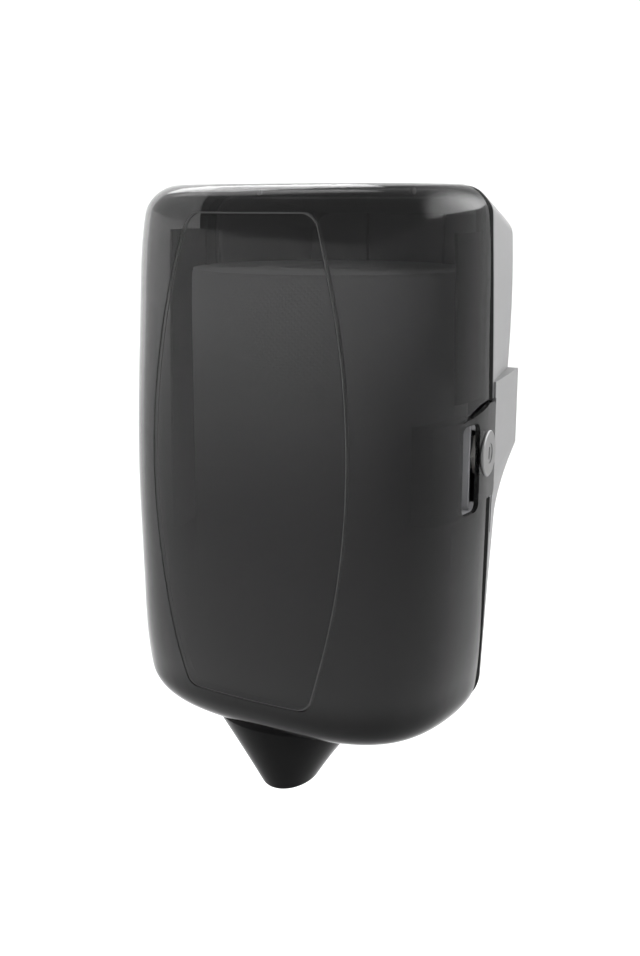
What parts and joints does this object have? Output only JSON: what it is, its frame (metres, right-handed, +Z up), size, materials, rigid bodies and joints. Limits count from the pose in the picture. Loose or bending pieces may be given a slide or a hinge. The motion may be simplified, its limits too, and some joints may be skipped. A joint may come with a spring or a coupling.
{
  "type": "center-pull wipe dispenser",
  "caption": "Wall-mounted centre-pull wipe dispenser with a translucent hinged cover, side cam lock, finger recess, inner roll on a shelf and a conical outlet spout.",
  "frame": {"origin": "centre of the wall screw pattern, on the back face of the plate", "axes": "+X right seen from the front, +Y into the wall, +Z up"},
  "size_m": [0.1818, 0.171, 0.3076],
  "materials": {
    "smoke": "translucent smoke, polished",
    "smoke_dark": "dark smoke, polished",
    "black": "fine grain",
    "grey": "satin",
    "steel": "zinc plated",
    "chrome": "polished",
    "rubber": "soft",
    "wipe": "embossed non-woven"
  },
  "bodies": {
    "plate": {"back_plate": "grey", "inner_frame": "black", "frame_screws": "steel", "roll_shelf": "grey", "shelf_screws": "steel", "keeper": "steel", "keeper_screws": "steel", "hinge_pin_left": "steel", "hinge_pin_right": "steel"},
    "cover": {"front_cover": "smoke", "finger_pocket": "smoke_dark", "spout": "smoke_dark", "spout_clips": "steel", "spout_orifice": "rubber", "lock_housing": "chrome", "lock_washer": "steel", "lock_nut": "steel"},
    "lock": {"lock_plug": "chrome", "lock_cam": "steel", "cam_screw": "steel"},
    "roll": {"wipe_roll": "wipe"}
  },
  "joints": [
    {"name": "cover_hinge", "type": "hinge", "parent": "plate", "child": "cover", "pos_m": [0, -0.079, -0.1265], "axis": [1, 0, 0], "range_deg": [0, 80]},
    {"name": "lock_turn", "type": "hinge", "parent": "cover", "child": "lock", "pos_m": [0.08903, -0.082, 0.0212], "axis": [0.9886, 0.1506, 0], "range_deg": [0, 90]},
    {"name": "roll_lift", "type": "slide", "parent": "plate", "child": "roll", "axis": [0, 0, 1], "range_m": [0, 0.015]}
  ]
}
